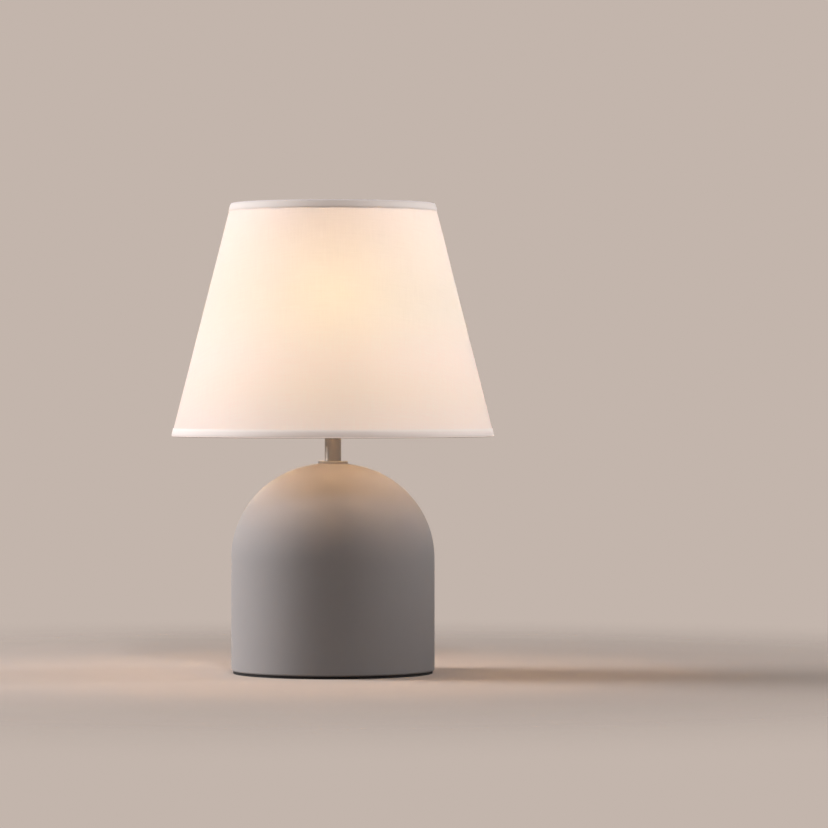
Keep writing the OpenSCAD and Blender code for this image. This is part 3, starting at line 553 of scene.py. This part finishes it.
def build_welds():
    """Beads of weld along both sides of each arm, where it lies under the fitter ring."""
    ring_lo, ring_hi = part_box("fitter_ring")
    arms, spans, sides = 3, 8, 8
    beside, below = 1.4 * MM, 0.25 * MM
    start_r, end_r = 0.90 * ring_hi.x, ring_hi.x - 0.2 * MM
    verts, faces = [], []
    for arm in range(arms):
        turn = BACK + TAU * arm / arms
        out = Vector((math.cos(turn), math.sin(turn), 0.0))
        for side in (-1, 1):
            across = Vector((-out.y, out.x, 0.0)) * side
            first = len(verts)
            for i in range(spans + 1):
                share = i / spans
                along = start_r + (end_r - start_r) * share
                # A bead with blunt ends, a little uneven
                fat = 0.75 * MM * math.sqrt(max(0.0, 1 - (2 * share - 1) ** 4)) + 0.05 * MM
                fat *= 1 + 0.12 * math.sin(9.0 * share + 2.1 * arm + side)
                for k in range(sides):
                    a = TAU * k / sides
                    spot = out * along + across * (beside + fat * math.cos(a))
                    spot.z = ring_lo.z - below + fat * math.sin(a) * 0.6
                    verts.append(spot)
            last = first + spans * sides
            faces += [tuple(first + k for k in range(sides))[::-1],
                      tuple(last + k for k in range(sides))]
            for i in range(spans):
                for k in range(sides):
                    a, b = first + sides * i + k, first + sides * i + (k + 1) % sides
                    faces.append((a, b, b + sides, a + sides))
    return make_piece("arm_welds", verts, faces, "shade", "wire_white")


cloth_sheet = build_cloth()
top_trim = build_hem("top_trim", True)
bottom_trim = build_hem("bottom_trim", False)
build_welds()


# Carried-over nodes take the looks of their own slots
for part in frame["record"]["subparts"]:
    obj = nodes[part["node"]]
    if not obj.hide_render and part["material_slot"] in looks:
        obj.data.materials.clear()
        obj.data.materials.append(looks[part["material_slot"]])


# Studio

# The backdrop's colour, and the even light that comes from all round
PALE = (0.545, 0.462, 0.412)
AMBIENT = scaled((1.0, 0.985, 0.97), 0.04)
# Radius of the floor, and the distances from the axis between which it fades out
FLOOR_R = 3.2
FADE_START, FADE_END = 0.12, 0.85
LAMP_WHITE = (1.0, 0.985, 0.995)
# The shade's spilled light: width of its source, height, power in watts and colour
SPILL_WIDTH, SPILL_Z, SPILL_POWER = 0.17, 0.1995, 0.012
SPILL_COLOUR = (1.0, 0.46, 0.15)
# The camera's place, the point that it looks at and its lens on a 36 mm wide sensor
CAMERA_AT, CAMERA_AIM = (0.0, -3.4446, 0.2186), (0.0626, 0.0, 0.2000)
SENSOR_MM, LENS_MM = 36.0, 193.9

scene = bpy.context.scene
scene.view_settings.view_transform = "Standard"


def seen_ray(n):
    """1 for what the camera sees, straight or in metal and glass, and 0 for all other light."""
    rays = n.add("LightPath")
    mirrored = n.math("MAXIMUM", rays.outputs["Is Glossy Ray"],
                      rays.outputs["Is Transmission Ray"])
    return n.math("MAXIMUM", rays.outputs["Is Camera Ray"], mirrored)


def build_world():
    """Backdrop in its own colour to the camera, and a dim even light to everything else."""
    world = bpy.data.worlds.new("studio")
    scene.world = world
    world.use_nodes = True
    n = Nodes(world.node_tree)
    n.end(n.add("Background", Color=n.mix(seen_ray(n), AMBIENT, PALE)).outputs[0])


def build_floor():
    """Round pale floor that fades into the backdrop, from just outside the lamp's foot on."""
    rings, around = 24, 96
    verts, faces = [(0.0, 0.0, 0.0)], []
    for k in range(1, rings + 1):
        r = FLOOR_R * (k / rings) ** 2
        for i in range(around):
            a = TAU * i / around
            verts.append((r * math.cos(a), r * math.sin(a), 0.0))
    for i in range(around):
        faces.append((0, 1 + i, 1 + (i + 1) % around))
    for k in range(rings - 1):
        for i in range(around):
            a, b = 1 + k * around, 1 + (k + 1) * around
            m = (i + 1) % around
            faces.append((a + i, b + i, b + m, a + m))
    mesh = bpy.data.meshes.new("floor")
    mesh.from_pydata(verts, [], faces)
    mat, n = new_material("floor")
    place = n.add("TexCoord").outputs["Object"]
    away = n.add("VectorMath", operation="LENGTH", in0=place).outputs["Value"]
    fade = n.add("MapRange", interpolation_type="SMOOTHSTEP", Value=away,
                 From_Min=FADE_START, From_Max=FADE_END)
    # Paler to the camera than to the lamp, so that the floor sheds little light on it
    pale = n.mix(n.noise(place, 14.0, 3.0), scaled(PALE, 1.30), scaled(PALE, 1.38))
    tint = n.mix(seen_ray(n), scaled(PALE, 0.5), pale)
    paint = n.add("BsdfPrincipled", Base_Color=tint, Roughness=0.85)
    clear = n.add("BsdfTransparent")
    n.end(n.shared(fade.outputs[0], paint.outputs[0], clear.outputs[0]))
    mesh.materials.append(mat)
    obj = bpy.data.objects.new("floor", mesh)
    scene.collection.objects.link(obj)


def soft_light(name, azimuth, elevation, distance, size, level, colour, aim=0.18, spread=178):
    """Square lamp that faces the object. azimuth 0 is in front and 90 on the right, in degrees.

    level is how bright it makes a white surface that faces it, and aim the height that it points
    at. A small spread, in degrees, narrows its beam as a honeycomb grid does.
    """
    data = bpy.data.lights.new(name, "AREA")
    data.shape = "SQUARE"
    data.size = size
    half = math.radians(spread) / 2
    data.energy = level * (math.pi * distance) ** 2 * (1 - half / math.tan(half))
    data.color = colour
    data.spread = math.radians(spread)
    obj = bpy.data.objects.new(name, data)
    a, e = math.radians(azimuth), math.radians(elevation)
    way = Vector((math.sin(a) * math.cos(e), -math.cos(a) * math.cos(e), math.sin(e)))
    obj.location = Vector((0.0, 0.0, aim)) + way * distance
    obj.rotation_mode = "QUATERNION"
    obj.rotation_quaternion = way.to_track_quat("Z", "Y")
    scene.collection.objects.link(obj)


def build_spill():
    """Warm light that the open shade sends down on the base, level with the lampholder's foot."""
    data = bpy.data.lights.new("spill", "AREA")
    data.shape = "DISK"
    data.size = SPILL_WIDTH
    data.energy = SPILL_POWER
    data.color = SPILL_COLOUR
    obj = bpy.data.objects.new("spill", data)
    obj.location = (0.0, 0.0, SPILL_Z)
    obj.visible_camera = False
    scene.collection.objects.link(obj)


def build_camera():
    """Camera at the photograph's viewing angle."""
    cam = bpy.data.objects.new("camera", bpy.data.cameras.new("camera"))
    scene.collection.objects.link(cam)
    cam.data.sensor_width = SENSOR_MM
    cam.data.lens = LENS_MM
    cam.location = CAMERA_AT
    look = Vector(CAMERA_AIM) - Vector(cam.location)
    cam.rotation_mode = "QUATERNION"
    cam.rotation_quaternion = look.to_track_quat("-Z", "Y")
    return cam


build_world()
build_floor()
soft_light("key", -101, 15, 2.0, 1.0, 1.50, LAMP_WHITE, aim=0.26, spread=90)
soft_light("fill", 97, 11, 1.6, 0.4, 1.22, LAMP_WHITE, aim=0.31, spread=26)
soft_light("sky", 6, 33, 2.4, 0.2, 0.19, (1.0, 0.985, 0.985))
build_spill()
bpy.context.scene.camera = build_camera()
